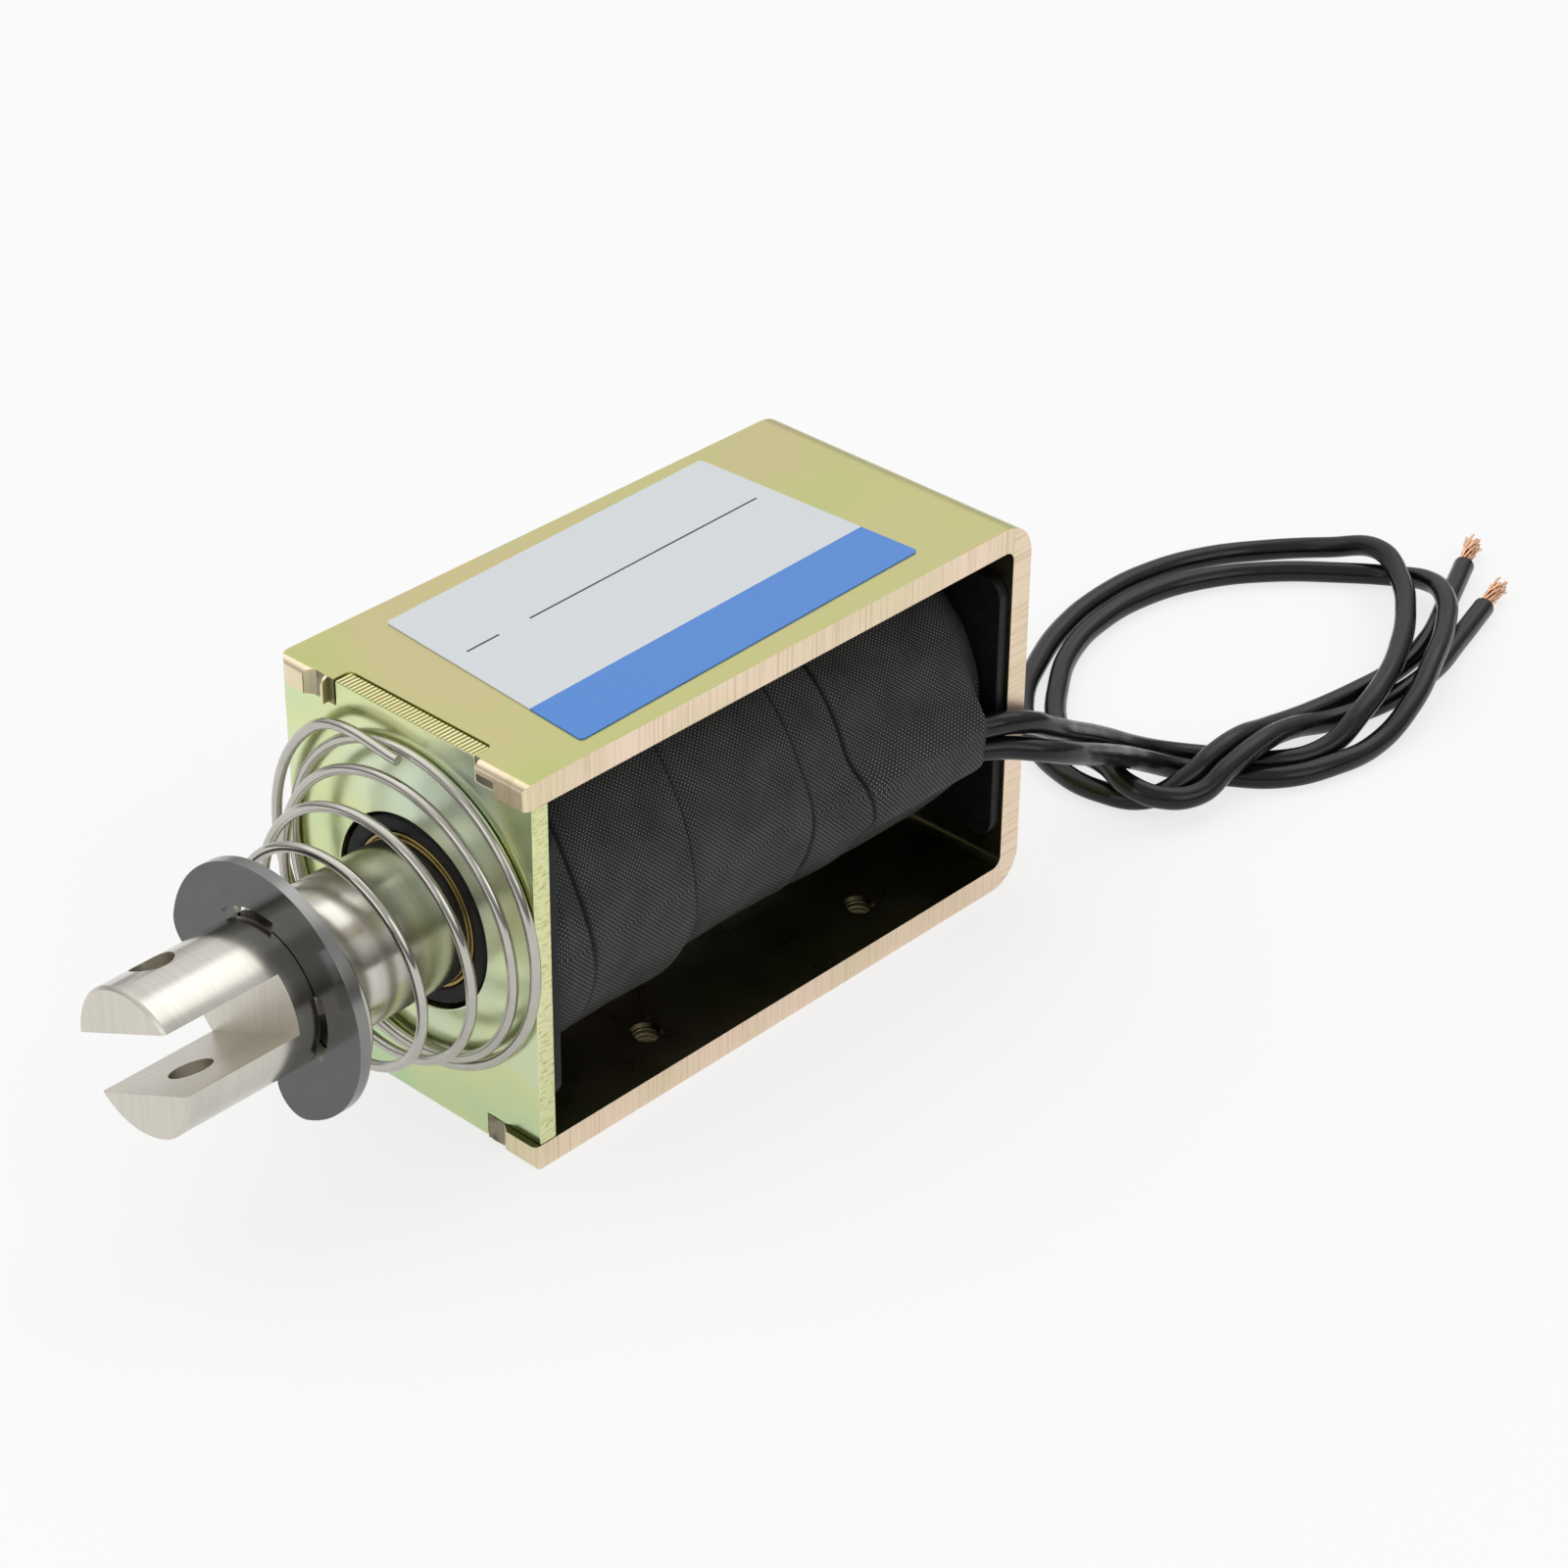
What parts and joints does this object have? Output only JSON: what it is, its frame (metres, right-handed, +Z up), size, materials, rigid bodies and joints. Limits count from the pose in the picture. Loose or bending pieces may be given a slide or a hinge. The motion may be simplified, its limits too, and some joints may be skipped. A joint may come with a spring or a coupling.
{
  "type": "push pull solenoid",
  "caption": "Open-frame push pull solenoid: bent steel yoke, taped coil, sliding clevis plunger with conical return spring, rear push rod and two black leads.",
  "frame": {"origin": "centre of the four threaded base holes, on the frame's bottom face", "axes": "+Z up from the base, +Y along the plunger's axis towards the rear plate and the leads, so the plunger's clevis points along -Y, +X to the right"},
  "size_m": [0.045, 0.1798, 0.0397],
  "materials": {
    "zinc_yellow": "zinc plated with a pale yellow-green passivation, faint rainbow tint",
    "black_nylon": "moulded black nylon, slightly glossy",
    "brass_tube": "drawn thin-wall tube, bright",
    "magnet_wire": "enamelled copper wire, tight winding",
    "cloth_tape": "black cloth tape, matt, with lap edges",
    "heat_shrink": "black sleeve over a solder joint",
    "bright_steel": "turned, bright",
    "thin_brass": "punched sheet",
    "nickel": "nickel plate over fine turning marks, satin",
    "black_oxide": "dark oiled spring steel with bright edges",
    "spring_wire": "bright drawn wire",
    "label_film": "pale grey film, satin, no lettering",
    "lead_pvc": "flexible insulation, low gloss",
    "copper_strands": "bare stranded copper, lightly tinned"
  },
  "bodies": {
    "frame": {"yoke": "zinc_yellow", "front_plate": "zinc_yellow", "bobbin": "black_nylon", "guide_tube": "brass_tube", "winding": "magnet_wire", "coil_tape": "cloth_tape", "lead_wrap": "cloth_tape", "splice_a": "heat_shrink", "splice_b": "heat_shrink", "pole": "bright_steel", "pole_washer": "thin_brass", "return_spring": "spring_wire", "label": "label_film", "lead_a": "lead_pvc", "lead_b": "lead_pvc", "strands_a": "copper_strands", "strands_b": "copper_strands"},
    "ring": {"retaining_ring": "black_oxide"},
    "plunger": {"plunger": "nickel", "push_rod": "bright_steel"}
  },
  "joints": [
    {"name": "plunger_slide", "type": "slide", "parent": "frame", "child": "ring", "axis": [0, 1, 0], "range_m": [0, 0.01], "stiffness_N_per_m": 160, "deforming": ["return_spring"]},
    {"name": "plunger_spin", "type": "hinge", "parent": "ring", "child": "plunger", "pos_m": [0, 0, 0.0198], "axis": [0, 1, 0], "continuous": true}
  ]
}
